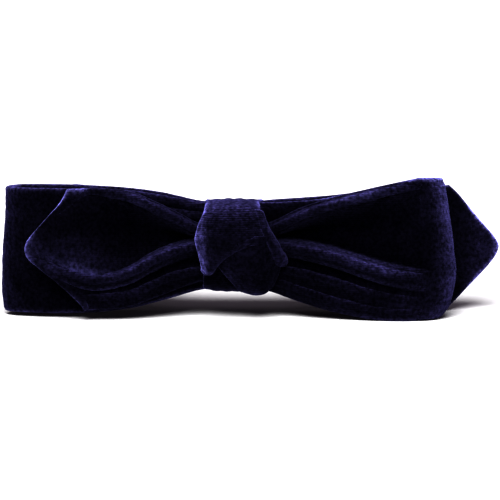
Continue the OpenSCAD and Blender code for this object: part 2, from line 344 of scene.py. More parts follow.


# ---------- materials ----------


# Painted sheen: how much lighter the base colour is painted from face on (0) to edge on (1). Each gain
# has the share of green beside it: navy pile loses its violet cast as it catches the light.
PAINTED_SHEEN = ((0.0, 1.0, 1.0), (0.1, 1.45, 1.01), (0.25, 3.0, 1.03), (0.55, 6.0, 1.06), (1.0, 8.5, 1.1))
# Painted shade and highlight: how light the colour is painted from a trough (0), in shade, through flat
# cloth (0.5) to a crest or free edge (1), in light.
RELIEF_LIGHT_GAIN = ((0.0, 0.1, 1.0), (0.3, 0.16, 1.0), (0.5, 0.27, 1.0), (0.68, 0.53, 1.02), (0.86, 1.0, 1.05),
                (1.0, 2.1, 1.1))


def blank_material(name):
    """A new material, its nodes, its links and its shader."""
    material = bpy.data.materials.new(name)
    material.use_nodes = True
    nodes = material.node_tree.nodes
    return material, nodes, material.node_tree.links, nodes["Principled BSDF"]


def put(node, **values):
    """Sets a node's inputs. A space in an input's name is written as an underscore."""
    for name, value in values.items():
        node.inputs[name.replace("_", " ")].default_value = value


def multiply(material, first, second):
    """The product of two colour outputs."""
    nodes, links = material.node_tree.nodes, material.node_tree.links
    mix = nodes.new("ShaderNodeMix")
    mix.data_type = "RGBA"
    mix.blend_type = "MULTIPLY"
    mix.inputs["Factor"].default_value = 1.0
    links.new(first, mix.inputs["A"])
    links.new(second, mix.inputs["B"])
    return mix.outputs["Result"]


def ramp_of(material, source, stops):
    """A colour ramp fed by source. stops are (position, colour)."""
    ramp = material.node_tree.nodes.new("ShaderNodeValToRGB")
    while len(ramp.color_ramp.elements) < len(stops):
        ramp.color_ramp.elements.new(0.5)
    for element, (position, colour) in zip(ramp.color_ramp.elements, stops):
        element.position = position
        element.color = (*colour, 1)
    material.node_tree.links.new(source, ramp.inputs["Fac"])
    return ramp.outputs["Color"]


def greys(*stops):
    """Ramp stops of plain grey, from (position, brightness)."""
    return [(at, (bright,) * 3) for at, bright in stops]


def noise(material, scale, detail):
    """Noise that stays on the object, with scale cells to the metre."""
    nodes, links = material.node_tree.nodes, material.node_tree.links
    texture = nodes.new("ShaderNodeTexNoise")
    put(texture, Scale=scale, Detail=detail)
    links.new(nodes.new("ShaderNodeTexCoord").outputs["Object"], texture.inputs["Vector"])
    return texture.outputs["Fac"]


def bump(material, height, strength, depth, under=None):
    """A normal with relief from a height output, depth in metres, laid over another normal."""
    node = material.node_tree.nodes.new("ShaderNodeBump")
    put(node, Strength=strength, Distance=depth)
    material.node_tree.links.new(height, node.inputs["Height"])
    if under is not None:
        material.node_tree.links.new(under, node.inputs["Normal"])
    return node.outputs["Normal"]


def marked(material, name):
    """A point attribute of the object, as a number."""
    node = material.node_tree.nodes.new("ShaderNodeAttribute")
    node.attribute_name = name
    return node.outputs["Fac"]


WALE = 0.0008  # m from one of the velvet's fine ribs to the next


def velvet(name, base, sheen_tint, sheen=0.12, rib_depth=0.2):
    """Short-pile velvet: almost black face on, with painted violet-blue sheen where the pile is seen from
    its side.
    """
    material, nodes, links, shader = blank_material(name)
    put(shader, Roughness=0.9, Specular_IOR_Level=0.0, Sheen_Weight=sheen, Sheen_Roughness=0.41,
        Sheen_Tint=(*sheen_tint, 1))
    pile = noise(material, 800, 3)
    crush = noise(material, 140, 3)
    ribs = nodes.new("ShaderNodeTexWave")
    ribs.bands_direction = "Z"
    put(ribs, Scale=math.pi / 10 / WALE, Distortion=1.2, Detail=1)
    links.new(nodes.new("ShaderNodeTexCoord").outputs["Object"], ribs.inputs["Vector"])
    ribbed = bump(material, ribs.outputs["Fac"], rib_depth, 0.0003)
    relief = bump(material, pile, 0.6, 0.0005, ribbed)
    links.new(relief, shader.inputs["Normal"])
    # Painted sheen: the base colour is painted lighter where the surface turns edge on.
    side_on = nodes.new("ShaderNodeLayerWeight")
    put(side_on, Blend=0.5)
    links.new(relief, side_on.inputs["Normal"])
    sheen_stops = [
        (at, (base[0] * gain, base[1] * gain * green, base[2] * gain)) for at, gain, green in PAINTED_SHEEN
    ]
    lit = ramp_of(material, side_on.outputs["Facing"], sheen_stops)
    fine = ramp_of(material, pile, greys((0.33, 0.4), (0.67, 1.75)))
    broad = ramp_of(material, crush, greys((0.3, 0.6), (0.72, 1.4)))
    # Painted shade in troughs and painted highlight on crests and free edges, from the point mark.
    relief_light_stops = [(at, (gain, gain * green, gain)) for at, gain, green in RELIEF_LIGHT_GAIN]
    relief_light = ramp_of(material, marked(material, "brushed"), relief_light_stops)
    # grain here also carries that painted shade and highlight.
    grain = multiply(material, multiply(material, fine, broad), relief_light)
    links.new(multiply(material, lit, grain), shader.inputs["Base Color"])
    return material


NAVY = (0.0086, 0.0070, 0.0200)
VIOLET = (0.44, 0.4, 1.0)
bow_velvet = velvet("bow_velvet", NAVY, VIOLET)
# Lit copies of the same cloth: a lighter base colour paints more light on the knot and on the rear tail.
knot_velvet_painted_lighter = velvet("knot_velvet_painted_lighter", [1.3 * c for c in NAVY], VIOLET, sheen=0.16, rib_depth=0.3)
tail_velvet_painted_lighter = velvet("tail_velvet_painted_lighter", [1.5 * c for c in NAVY], VIOLET, sheen=0.2)


def worked(material, operation, source, *numbers):
    """A sum worked out from an output and the given numbers."""
    node = material.node_tree.nodes.new("ShaderNodeMath")
    node.operation = operation
    material.node_tree.links.new(source, node.inputs[0])
    for place, number in enumerate(numbers, 1):
        node.inputs[place].default_value = number
    return node.outputs[0]


def grosgrain(name, base, pitch):
    """Ribbed ribbon: cross ribs at the given pitch in mm, fine threads, a soft silky sheen."""
    material, _, links, shader = blank_material(name)
    put(shader, Specular_IOR_Level=0.15, Sheen_Weight=0.05, Sheen_Roughness=0.35,
        Sheen_Tint=(0.5, 0.46, 1.0, 1))
    turns = worked(material, "MULTIPLY", marked(material, "along"), 2 * math.pi / pitch)
    lift = worked(material, "MULTIPLY_ADD", worked(material, "SINE", turns), 0.5, 0.5)
    threads = noise(material, 1500, 3)
    # Painted shade: darker in the grooves between the ribs.
    ribs = ramp_of(material, lift, [(0.0, [0.3 * c for c in base]), (0.8, base)])
    fine = ramp_of(material, threads, greys((0.3, 0.6), (0.7, 1.3)))
    links.new(multiply(material, ribs, fine), shader.inputs["Base Color"])
    gloss = ramp_of(material, threads, greys((0.2, 0.5), (0.8, 0.72)))
    links.new(gloss, shader.inputs["Roughness"])
    links.new(bump(material, lift, 0.8, 0.0003), shader.inputs["Normal"])
    return material


def speckled(name, dark, light, scale, roughness, bump_depth):
    """A material with grain of one size: its colours, its roughness range and its depth in metres."""
    material, _, links, shader = blank_material(name)
    grain = noise(material, scale, 4)
    links.new(ramp_of(material, grain, [(0.3, dark), (0.7, light)]), shader.inputs["Base Color"])
    gloss = ramp_of(material, grain, greys((0.3, roughness[0]), (0.7, roughness[1])))
    links.new(gloss, shader.inputs["Roughness"])
    links.new(bump(material, grain, 0.7, bump_depth), shader.inputs["Normal"])
    return material


ribbon = grosgrain("ribbon", (0.010, 0.0085, 0.026), 1.1)
foam = speckled("foam", (0.5, 0.5, 0.49), (0.78, 0.78, 0.76), 1400, (0.85, 1.0), 0.0004)
band_plastic = speckled("band_plastic", (0.7, 0.7, 0.68), (0.8, 0.8, 0.78), 250, (0.3, 0.5), 0.00005)
thread = speckled("thread", (0.008, 0.007, 0.022), (0.03, 0.026, 0.07), 3000, (0.5, 0.8), 0.0002)


# ---------- the bow ----------

RUN_THICK = 2.6  # mm, a run of the strip: two layers of velvet with the stiffener between them
MID_Z = 28  # mm, the height towards which a layer is gathered
PLEAT = 0.8  # mm that a layer's rows stand before or behind it in turn, where its ripple is 1


def run_of_strip(name, net, material, seed, rim=1.8, **looks):
    """One run of the bow's strip through a net of points."""
    return thick_sheet(name, grid_from_net(net, 0.9, rim), RUN_THICK, material, nap=0.14, seed=seed, **looks)


def pleat(k, ripple):
    """How far row k stands behind its layer, or before it where this is below 0."""
    return ripple * (PLEAT if k % 2 else -PLEAT)


def stretched(points, count):
    """The same line with another number of points, evenly spaced by index."""
    return [tuple(p) for p in catmull(points, np.linspace(0, 1, count))]


def toward_tip(last, tip, share, lift):
    """A station part of the way from the last one to the tip's outline, raised towards the front."""
    return [
        tuple(a + (b - a) * share + (0, -lift, 0)[n] for n, (a, b) in enumerate(zip(p, q)))
        for p, q in zip(last, tip)
    ]


def left_tail_painted_light(points):
    """Painted light on the tail: a highlight along its middle toward the tip and on its top, and painted
    shade near the knot.
    """
    x, _, z = points.T
    band = smooth(16, 22, z) * (1 - smooth(31, 38, z))
    brushed_tip = 0.44 * (1 - smooth(-60, -46, x)) + 0.14 * (1 - smooth(-78, -70, x))
    return 1 + band * brushed_tip + 0.16 * smooth(40, 46, z) - 0.16 * smooth(-40, -27, x)


def left_tail_rim_sheen(points):
    """Painted rim sheen at the tail's cut end, less on its lower slant."""
    x, _, z = points.T
    return (1 - smooth(-62, -50, x)) * (1 - 0.55 * smooth(10, 14, z) * (1 - smooth(21, 25, z)))


def left_tail():
    """The front tail, which opens out from the knot to its slanting point."""
    x = [-9.4, -16, -24, -32, -40, -48, -57]
    y = [-8.5, -10.4, -13.0, -15.0, -16.2, -16.8, -17.0]
    rows = [
        ([15.0, 13.8, 11.2, 8.4, 5.8, 4.6, 4.0], [1.6, 1.6, 1.4, 1.2, 1.0, 0.8, 0.4]),
        *crest([18.4, 18.6, 17.2, 14.2, 10.8, 9.6, 9.4], [-0.4, -0.8, -1.1, -1.2, -1.1, -0.8, -0.4],
               [0.7, 0.8, 0.9, 1.0, 1.1, 1.1, 1.0], [1.4, 1.5, 1.6, 1.5, 1.2, 0.8, 0.4]),
        ([23.4, 23.6, 22.2, 19.4, 15.8, 13.6, 13.0], [1.6, 1.6, 1.2, 0.8, 0.4, 0.1, -0.2]),
        *crest([27.8, 28.6, 27.2, 24.0, 19.9, 17.5, 16.8], [-2.0, -3.2, -4.2, -4.6, -4.6, -4.0, -2.8],
               [0.7, 0.9, 1.1, 1.3, 1.4, 1.4, 1.3], [2.4, 3.0, 3.4, 3.4, 3.2, 2.6, 1.5],
               steep=[1.1, 1.4, 1.6, 1.5, 1.3, 1.1, 1.0]),
        ([29.6, 30.2, 29.3, 26.6, 23.0, 21.0, 21.0], [3.2, 3.6, 3.2, 2.0, 0.2, -1.4, -1.8]),
        ([31.2, 32.5, 34.2, 35.2, 36.0, 36.6, 37.2], [3.4, 3.8, 4.4, 4.2, 3.2, 1.4, 0.2]),
        *crest([34.0, 35.8, 40.4, 44.6, 48.4, 50.0, 50.6], [-2.2, -3.0, -3.2, -3.0, -2.2, -1.2, -0.4],
               [0.6, 0.8, 0.9, 0.9, 0.8, 0.7, 0.6], [2.6, 3.2, 3.4, 3.0, 2.0, 1.0, 0.4], steep=0.8),
        ([35.6, 37.8, 42.6, 46.8, 50.4, 51.6, 52.0], [0.8, 0.6, 0.4, 0.2, 0.0, -0.2, -0.2]),
    ]
    net = net_of(x, y, rows)
    tip_x = [-58.3, -60.8, -64.0, -67.6, -72.2, -76.9, -80.8, -81.7, -81.4, -77.2, -71.8, -67.8, -65.0]
    tip_z = [4.2, 7.0, 10.3, 13.6, 17.6, 21.4, 24.6, 26.6, 30.4, 35.7, 41.8, 46.4, 51.6]
    tip_y = [-17.4, -17.4, -17.3, -17.2, -17.2, -17.0, -16.6, -16.2, -16.0, -16.2, -16.8, -17.4, -17.8]
    tip = stretched(list(zip(tip_x, tip_y, tip_z)), len(rows))
    net.append(toward_tip(net[-1], tip, 0.6, 0.4))
    net.append(tip)
    return run_of_strip("velvet_left_tail", net, bow_velvet, 1,
                        glow=3.0, lifted=left_tail_painted_light, open_at=left_tail_rim_sheen)


def right_tail():
    """The rear tail, whose point shows past the right loop."""
    x = [9.4, 16, 26, 38, 52, 68]
    y = [2.5, 2.6, 2.8, 3.0, 3.4, 4.0]
    rows = [
        ([12.6, 11.6, 8.4, 5.0, 2.8, 1.6], [1.0, 1.0, 0.8, 0.6, 0.4, 0.2]),
        *crest([19.0, 18.4, 16.6, 14.6, 12.6, 11.6], [-1.0, -1.0, -0.9, -0.7, -0.5, -0.3], 1.2, 0.9),
        ([28.0, 28.0, 27.6, 27.0, 26.0, 25.2], [0.9, 0.9, 0.8, 0.5, 0.3, 0.2]),
        ([34.0, 34.4, 34.8, 34.8, 34.4, 34.0], [1.2, 1.2, 1.0, 0.6, 0.3, 0.2]),
        *crest([40.2, 41.2, 42.6, 43.4, 43.8, 44.2], [-1.6, -1.6, -1.3, -1.0, -0.6, -0.3], 1.0,
               [2.0, 1.9, 1.5, 1.0, 0.5, 0.2]),
        ([44.6, 45.2, 45.8, 46.8, 48.4, 49.6], [-0.6, -0.6, -0.5, -0.4, -0.3, -0.2]),
    ]
    net = net_of(x, y, rows)
    tip_x = [85.4, 89.6, 94.0, 98.4, 102.6, 104.8, 105.4, 104.8, 100.2, 95.6, 91.8, 88.6, 85.0]
    tip_z = [1.6, 5.8, 10.4, 14.8, 19.4, 22.6, 25.2, 28.0, 33.4, 38.8, 43.4, 47.2, 50.6]
    tip_y = [6.4, 7.4, 8.4, 9.4, 10.4, 11.2, 11.4, 11.2, 9.8, 8.4, 7.4, 6.6, 5.8]
    tip = stretched(list(zip(tip_x, tip_y, tip_z)), len(rows))
    net.append(toward_tip(net[-1], tip, 0.6, 0.2))
    net.append(tip)
    # Painted shade on the tail next to the loop, and painted light toward its tip.
    return run_of_strip("velvet_right_tail", net, tail_velvet_painted_lighter, 2,
                        glow=3.0, lifted=lambda p: 0.6 + 0.76 * smooth(86, 98, p[:, 0]))


# The right loop's outer fold, from its lower to its upper edge: plan x and height in mm.
FOLD_X = [79.6, 81.6, 82.8, 83.4, 84.0, 84.6, 85.2, 85.4, 85.4, 84.3, 82.6, 81.6, 80.8, 79.2]
FOLD_Z = [1.2, 2.8, 4.4, 6.2, 8.0, 11.4, 14.6, 17.0, 19.6, 29.6, 41.6, 49.0, 52.6, 55.0]


def right_loop_painted_light(points):
    """Painted sheen along the loop's outer fold, painted light on its top, and painted shade where it nears
    the knot.
    """
    x, _, z = points.T
    inset = np.interp(z, FOLD_Z, FOLD_X) - x
    reach = 8 + 15 * (1 - smooth(12, 24, z))
    knot_shade = 0.36 * (1 - smooth(20, 56, x))
    return 1 - knot_shade + 0.2 * smooth(36, 42, z) + 0.38 * (1 - smooth(1, reach, inset))


def right_loop_rim_sheen(points):
    """Painted rim sheen on the loop's free edges where they are not pleated, and on its back layer."""
    x, y, z = points.T
    return np.where(y > -8, 1, smooth(60, 72, x)) * smooth(6, 14, z)


def right_loop():
    """The front loop: a pleated front layer, the fold at its outer end, and a hidden back layer."""
    front_x = [9.4, 16, 26, 38, 52, 63, 71]
    front_y = [-8.5, -10.6, -14.0, -16.8, -18.6, -19.0, -18.2]
    front = [
        ([11.2, 9.8, 6.8, 3.8, 1.8, 1.0, 0.9], [3.0, 3.0, 3.2, 3.0, 2.6, 2.2, 1.6]),
        *crest([15.0, 14.4, 11.6, 8.2, 5.0, 3.8, 3.6], [0.1, 0.0, -0.2, -0.2, 0.0, 0.2, 0.3],
               [0.7, 0.8, 0.9, 1.0, 1.0, 1.0, 1.0], [1.5, 1.5, 1.4, 1.3, 1.0, 0.6, 0.3]),
        *crest([20.2, 19.8, 18.6, 15.8, 11.6, 9.4, 8.6], [-0.6, -0.9, -1.2, -1.2, -0.9, -0.5, -0.1],
               [0.7, 0.8, 0.9, 1.0, 1.1, 1.1, 1.1], [1.6, 1.6, 1.5, 1.3, 0.9, 0.6, 0.3]),
        ([24.8, 24.6, 23.9, 21.4, 16.8, 13.4, 11.8], [1.8, 1.8, 1.4, 1.0, 0.6, 0.2, 0.2]),
        *crest([28.3, 28.8, 28.2, 25.9, 21.8, 19.1, 17.8], [-2.4, -3.6, -4.6, -4.8, -4.2, -3.2, -1.8],
               [0.7, 0.9, 1.1, 1.3, 1.5, 1.6, 1.6], [2.6, 3.0, 3.4, 3.4, 2.8, 2.0, 0.9],
               steep=[1.1, 1.4, 1.6, 1.6, 1.5, 1.3, 1.1]),
        ([30.4, 30.7, 30.2, 28.2, 24.7, 22.5, 21.6], [4.0, 4.6, 5.2, 5.0, 3.8, 2.2, 1.0]),
        ([31.1, 31.9, 32.9, 33.2, 32.8, 32.4, 32.0], [4.0, 4.7, 5.5, 5.7, 4.6, 2.8, 1.2]),
        ([31.9, 33.2, 35.8, 38.2, 40.4, 41.6, 42.0], [3.6, 4.2, 5.0, 5.2, 4.4, 2.6, 1.1]),
        *crest([34.2, 36.0, 41.4, 45.9, 49.6, 52.0, 53.4], [-2.8, -3.6, -3.6, -3.0, -2.0, -1.0, 0.0],
               [0.6, 0.8, 0.9, 0.9, 0.9, 0.8, 0.8], [2.8, 3.2, 3.6, 3.4, 2.6, 1.4, 0.4], steep=0.8),
        ([35.8, 38.0, 43.8, 48.3, 51.9, 54.4, 56.0], [0.8, 0.6, 0.4, 0.2, 0.2, 0.2, 0.3]),
    ]
    fold = [(float(np.interp(heights[-1], FOLD_Z, FOLD_X)), heights[-1]) for heights, _ in front]
    near = net_of(front_x, front_y, front)
    turn = [
        [(x - inset, y, MID_Z + (z - MID_Z) * squeeze) for x, z in fold]
        for inset, y, squeeze in ((8.4, -18.0, 1), (4.4, -16.6, 1), (1.5, -14.2, 0.99),
                                  (0.0, -11.2, 0.975), (1.0, -8.4, 0.955), (4.2, -6.8, 0.94))
    ]
    far = [
        [(x, y + pleat(k // 2, ripple), MID_Z + (0.93 * z + 1.0 - MID_Z) * squeeze)
         for k, (_, z) in enumerate(fold)]
        for x, y, squeeze, ripple in ((68, -6.0, 0.97, 0.1), (52, -5.0, 0.88, 0.4), (34, -4.2, 0.735, 0.9),
                                      (17, -3.2, 0.68, 1.2), (9.4, -2.5, 0.68, 1.0))
    ]
    return run_of_strip("velvet_right_loop", near + turn + far, bow_velvet, 3,
                        lifted=right_loop_painted_light, open_at=right_loop_rim_sheen)


def left_loop():
    """The rear loop: its square end shows past the left tail."""
    low = [1.6, 3.8, 7.0, 12.0, 19.0, 27.0, 35.0, 41.0, 44.6, 47.5, 49.5, 51.1]
    tight = [11.0, 13.0, 15.5, 18.5, 23.0, 28.0, 33.0, 37.0, 39.4, 41.2, 42.6, 43.6]
    bulge = [-89.6, -90.4, -90.9, -91.1, -91.0, -90.6, -89.9, -89.4, -89.2, -89.1, -89.0, -88.8]

    def layer(*stations):
        """A layer's stations: plan x and y, how far it is gathered to its height at the knot, ripple."""
        return [
            [(x, y + pleat(k, ripple), a + (b - a) * gather) for k, (a, b) in enumerate(zip(low, tight))]
            for x, y, gather, ripple in stations
        ]

    front = layer(
        (-9.4, -2.5, 1.0, 1.0), (-16, -3.2, 0.92, 1.5), (-27, -5.0, 0.6, 1.4), (-40, -7.6, 0.26, 1.1),
        (-54, -9.4, 0.06, 0.5), (-70, -9.2, 0.0, 0.1), (-82, -7.2, 0.0, 0.0),
    )
    fold = [
        [(x + inset, y, z) for x, z in zip(bulge, low)]
        for inset, y in ((1.8, -4.4), (0.0, -0.8), (1.8, 2.8))
    ]
    back = layer(
        (-82, 5.2, 0.0, 0.0), (-64, 6.0, 0.04, 0.1), (-46, 5.8, 0.2, 0.5), (-30, 4.6, 0.5, 0.9),
        (-16, 3.2, 0.92, 1.0), (-9.4, 2.5, 1.0, 0.8),
    )
    # Painted shade: the whole loop's mark is a little darker.
    return run_of_strip("velvet_left_loop", front + fold + back, bow_velvet, 4, rim=1.6,
                        lifted=lambda p: np.full(len(p), 0.86))


piece = left_tail()
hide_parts("left_tail", "left_tail_stiffener")
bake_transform(piece)

piece = right_tail()
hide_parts("right_tail", "right_tail_stiffener")
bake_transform(piece)

piece = right_loop()
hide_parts("right_loop", "right_loop_stiffener")
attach(piece, "knot")

piece = left_loop()
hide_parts("left_loop", "left_loop_stiffener")
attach(piece, "knot")


def wrap_painted_light(points):
    """Painted shade on the wrap's front, low down and toward the right, and a painted highlight at its left
    edge.
    """
    x, y, z = points.T
    front = 1 - smooth(-12, -6, y)
    front_low_shade = 1 - 0.8 * (1 - smooth(15.5, 19, z)) * front
    return front_low_shade * (1 + 0.6 * front * (1 - smooth(-12.5, -9.5, x)) - 0.42 * front * smooth(4, 11, x))


def wrap_rim_sheen(points):
    """Painted rim sheen on the wrap's free edges, less at the front on the left, where they curl under."""
    x, y, _ = points.T
    return 1 - 0.7 * (1 - smooth(-12, -6, y)) * (1 - smooth(-12, -8, x))


def knot_wrap():
    """The wrap: from behind the gathers, under the hoop, up its back and down over the front."""
    # Each station: y and z of the middle, left and right edges, how far the edges curl in, ripple.
    path = [
        (-11.5, 30.0, -11.0, 10.0, 1.0, 0.0),
        (-13.4, 21.0, -12.0, 11.0, 1.5, 0.1),
        (-13.2, 15.0, -12.4, 11.0, 2.0, 0.1),
        (-10.6, 12.0, -12.4, 10.6, 2.0, 0.1),
        (-3.0, 10.6, -12.8, 11.0, 1.6, 0.1),
        (7.0, 10.2, -13.0, 12.0, 1.4, 0.1),
        (13.0, 11.8, -13.4, 12.8, 0.2, 0.1),
        (15.6, 18.0, -13.6, 13.4, 0.2, 0.1),
        (16.0, 28.0, -13.6, 13.4, 0.2, 0.1),
        (15.2, 37.0, -13.2, 13.0, 0.2, 0.1),
        (11.8, 42.4, -12.4, 12.0, 0.0, 0.1),
        (4.0, 44.2, -12.0, 10.4, 1.6, 0.15),
        (-6.0, 44.6, -11.8, 9.8, 2.0, 0.1),
        (-13.4, 43.2, -12.2, 9.8, 3.0, 0.1),
        (-17.4, 39.4, -13.9, 10.8, 4.4, 0.1),
        (-19.4, 34.4, -15.0, 12.4, 5.4, 0.0),
        (-20.0, 31.0, -15.0, 13.4, 5.6, 0.0),
    ]
    across = np.linspace(0, 1, 11)
    net = []
    for i, (y, z, left, right, curl, ripple) in enumerate(path):
        before, after = path[max(i - 1, 0)], path[min(i + 1, len(path) - 1)]
        run = np.array([after[0] - before[0], after[1] - before[1]])
        inward = np.array([-run[1], run[0]]) / np.linalg.norm(run)
        row = []
        for k, t in enumerate(across):
            bend = curl * abs(2 * t - 1) ** 3 + ripple * (1 if k % 2 else -1)
            row.append((left + (right - left) * t, y + inward[0] * bend, z + inward[1] * bend))
        net.append(row)
    # The last stations run down to the slanting fold and roll under it.
    edge_z = [20.4, 19.0, 19.4, 22.2, 24.8, 26.8, 28.4, 29.6, 30.4, 30.8, 31.0]
    edge_x = [-12.4, -11.1, -9.4, -7.6, -5.0, -2.0, 1.2, 4.6, 8.0, 11.2, 13.8]
    curl = [4.6, 2.4, 0.9, 0.2, 0.0, 0.0, 0.0, 0.2, 0.8, 2.4, 4.8]
    for right, y, share, up in ((0, -20.0, 1, 2.0), (0, -18.6, 1, 0), (0.3, -16.4, 0.7, 0.8),
                                (0.6, -15.6, 0.5, 3.0)):
        net.append([(x + right, y + c * share, z + up) for x, z, c in zip(edge_x, edge_z, curl)])
    return thick_sheet("velvet_knot_wrap", grid_from_net(net, 0.7, 1.4), 2.4, knot_velvet_painted_lighter, nap=0.12, seed=5,
                       glow=2.8, lifted=wrap_painted_light, open_at=wrap_rim_sheen)


def knot_tuck():
    """The wrap's end, which comes out under the slanting fold and is tucked away below."""
    net = [
        [(-7.5, -13.6, 28.0), (-2, -16.2, 31.0), (3.0, -17.0, 33.0), (8.0, -16.8, 34.0), (13, -14.4, 33.6)],
        [(-8.6, -15.0, 24.6), (-3.5, -17.4, 26), (2.0, -18.6, 27.2), (9.5, -18.4, 28.0), (17, -14.8, 28.0)],
        [(-5.6, -15.4, 20.2), (-1, -17.8, 20.8), (4.6, -18.9, 21.6), (11, -18.2, 22.4), (18, -14.2, 23.4)],
        [(-1.8, -14.8, 15.8), (2.4, -17, 15.8), (7, -17.8, 16.4), (11.8, -17.2, 17.2), (17, -13.8, 18.6)],
        [(1.8, -13.6, 12.2), (5, -15.2, 11.4), (8.4, -15.8, 11.2), (11.8, -15.4, 12.0), (14.6, -13.0, 14.0)],
        [(4.4, -10.4, 11.8), (6.6, -11.2, 10.8), (8.8, -11.6, 10.4), (11, -11.2, 11), (13.2, -10.2, 13.2)],
    ]
    # Painted shade: the tuck is darker toward its right.
    return thick_sheet("velvet_knot_tuck", grid_from_net(net, 0.7, 1.2), 2.2, bow_velvet, nap=0.12, seed=6,
                       glow=1.0, lifted=lambda p: 1 - 0.4 * smooth(8, 13, p[:, 0]))


def knot_ear():
    """The fold of the wrap's end where it turns round the knot's right side."""
    net = [
        [(7.6, -12.6, 43.2), (8.8, -12.8, 43.0), (9.8, -12.4, 42.6), (10.0, -11.6, 42.2)],
        [(9.6, -15.6, 37.2), (11.0, -16.2, 37.0), (12.2, -15.2, 36.6), (12.4, -13.4, 36.2)],
        [(12.2, -16.8, 31.4), (14.0, -17.6, 31.2), (15.4, -16.2, 31.0), (15.6, -13.8, 30.8)],
        [(14.0, -16.6, 27.0), (16.2, -17.6, 26.6), (18.2, -16.2, 26.4), (18.6, -13.8, 26.4)],
        [(14.6, -15.6, 23.6), (17.2, -16.6, 23.0), (19.4, -15.4, 22.8), (19.8, -13.4, 23.2)],
        [(14.6, -13.8, 22.2), (16.8, -14.4, 21.6), (18.8, -13.8, 21.6), (19.4, -12.8, 22.2)],
    ]
    # Painted shade: the whole ear's mark is a little darker.
    return thick_sheet("velvet_knot_ear", grid_from_net(net, 0.6, 1.0), 1.8, bow_velvet, nap=0.1, seed=7,
                       glow=1.6, lifted=lambda p: np.full(len(p), 0.9))


for make, name, cut, under in (
    (knot_wrap, "knot_wrap", (0.028, 0.128), "bow_core"),
    (knot_tuck, "knot_tuck", (0.026, 0.025), "knot_wrap"),
    (knot_ear, "knot_ear", (0.010, 0.020), "knot_wrap"),
):
    piece = make()
    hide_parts(name)
    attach(piece, "knot")


# ---------- inside the knot ----------

CORE_FRONT, CORE_BACK, CORE_LOW, CORE_HIGH = -10.0, 5.5, 12.5, 43.3  # mm, the CAD core's section
CORE_CORNER = 4  # mm
GATHERS_HALF = 9.0  # mm from the middle to either end of the gathers
THREAD_R = 0.45
THREAD_TURNS = 5


def core_outline(inset, turns):
    """Points round the core's section, a rounded box, at the given turns from 0 to 1."""
    y0, y1 = CORE_FRONT + inset, CORE_BACK - inset
    z0, z1 = CORE_LOW + inset, CORE_HIGH - inset
    corner = max(CORE_CORNER - inset, 1)
    outline = []
    for cy, cz, start in (
        (y0 + corner, z0 + corner, 180), (y1 - corner, z0 + corner, 270),
        (y1 - corner, z1 - corner, 0), (y0 + corner, z1 - corner, 90),
    ):
        for a in np.radians(np.linspace(start, start + 90, 7)):
            outline.append((cy + corner * math.cos(a), cz + corner * math.sin(a)))
    outline.append(outline[0])
    outline = np.asarray(outline)
    reach = np.concatenate([[0], np.linalg.norm(np.diff(outline, axis=0), axis=1).cumsum()])
    at = (np.asarray(turns, float) % 1) * reach[-1]
    return np.stack([np.interp(at, reach, outline[:, 0]), np.interp(at, reach, outline[:, 1])], axis=1)


def gathers():
    """The strip's three runs where they are drawn together, pleated, with a waist under the thread."""
    turns = np.linspace(0, 1, 120, endpoint=False)
    folds = 0.28 * np.sin(2 * math.pi * turns * 20) + 0.15 * np.sin(2 * math.pi * turns * 33 + 1.0)
    section = core_outline(0.45, turns)
    away = section - section.mean(0)
    away /= np.linalg.norm(away, axis=1, keepdims=True)
    rings = []
    for x in np.linspace(-GATHERS_HALF, GATHERS_HALF, 37):
        waist = 1.1 * math.exp(-((x / 3.0) ** 2))
        open_up = smooth(1.5, 8, abs(x))
        round_end = 1.2 * smooth(GATHERS_HALF - 1.2, GATHERS_HALF, abs(x))
        ring = section + away * (folds * (0.4 + 0.6 * open_up) - waist - round_end)[:, None]
        rings.append([(x, y, z) for y, z in ring])
    return closed_loft("velvet_gathers", rings, bow_velvet)


def gather_turns():
    """The thread wound round the gathers."""
    turns = np.linspace(0, THREAD_TURNS, THREAD_TURNS * 90 + 1)
    section = core_outline(THREAD_R + 0.05, turns)
    x = (turns / THREAD_TURNS - 0.5) * (THREAD_TURNS - 1) * 2 * THREAD_R * 1.1
    return tubes("thread_gathers", [[(a, y, z) for a, (y, z) in zip(x, section)]], THREAD_R, thread)


def tack_stitches():
    """Short stitches that hold the wrap's end at the back of the knot."""
    low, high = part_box("knot_tacks")
    count, half, back, sink = 6, 2.3, 17.35, 0.9
    paths = []
    for n, z in enumerate(np.linspace(low.z / MM + 0.3, high.z / MM - 0.3, count)):
        slant = 0.5 if n % 2 else -0.3
        paths.append([
            (t * half, back - sink * abs(t) ** 4, z + slant * t) for t in np.linspace(-1, 1, 9)
        ])
    return tubes("thread_tacks", paths, 0.3, thread)


for piece, name, kind in (
    (gathers(), "bow_core", "velvet"),
    (gather_turns(), "gather_thread", "thread"),
    (tack_stitches(), "knot_tacks", "thread"),
):
    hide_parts(name)
    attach(piece, "knot")


# ---------- the hoop ----------

CROWN_R, ARM_R, HOOP_Y = 70.0, 160.0, 80.0
QUARTER = CROWN_R * math.pi / 2  # mm along the core from behind the knot to where the arm's arc starts
SLEEVE_START = 9.0  # mm along the core, inside the wrap
SLEEVE_END = QUARTER + 51.2  # mm, where the tip cap starts
LOW_EDGE = ((0, 14.5), (10, 14.2), (20, 7.4), (45, 0.6), (65, 0.6), (105, 7.0), (131, 13.6), (150, 18))
HIGH_EDGE = ((0, 41.0), (10, 41.0), (20, 42.6), (45, 44.0), (65, 43.6), (105, 39.4), (131, 34.4), (150, 30))
LOWEST = 0.9  # mm, how low the edge may come to the table
PUFF = 6.0  # mm that the padded velvet stands out from the core
PAD_INSET, PAD_THICK = 1.6, 3.4  # mm
RIBBON_INSET, RIBBON_OFFSET = 2.2, -2.75  # mm
SEAM_INSET = 1.2  # mm from the ribbon's edge to its stitches


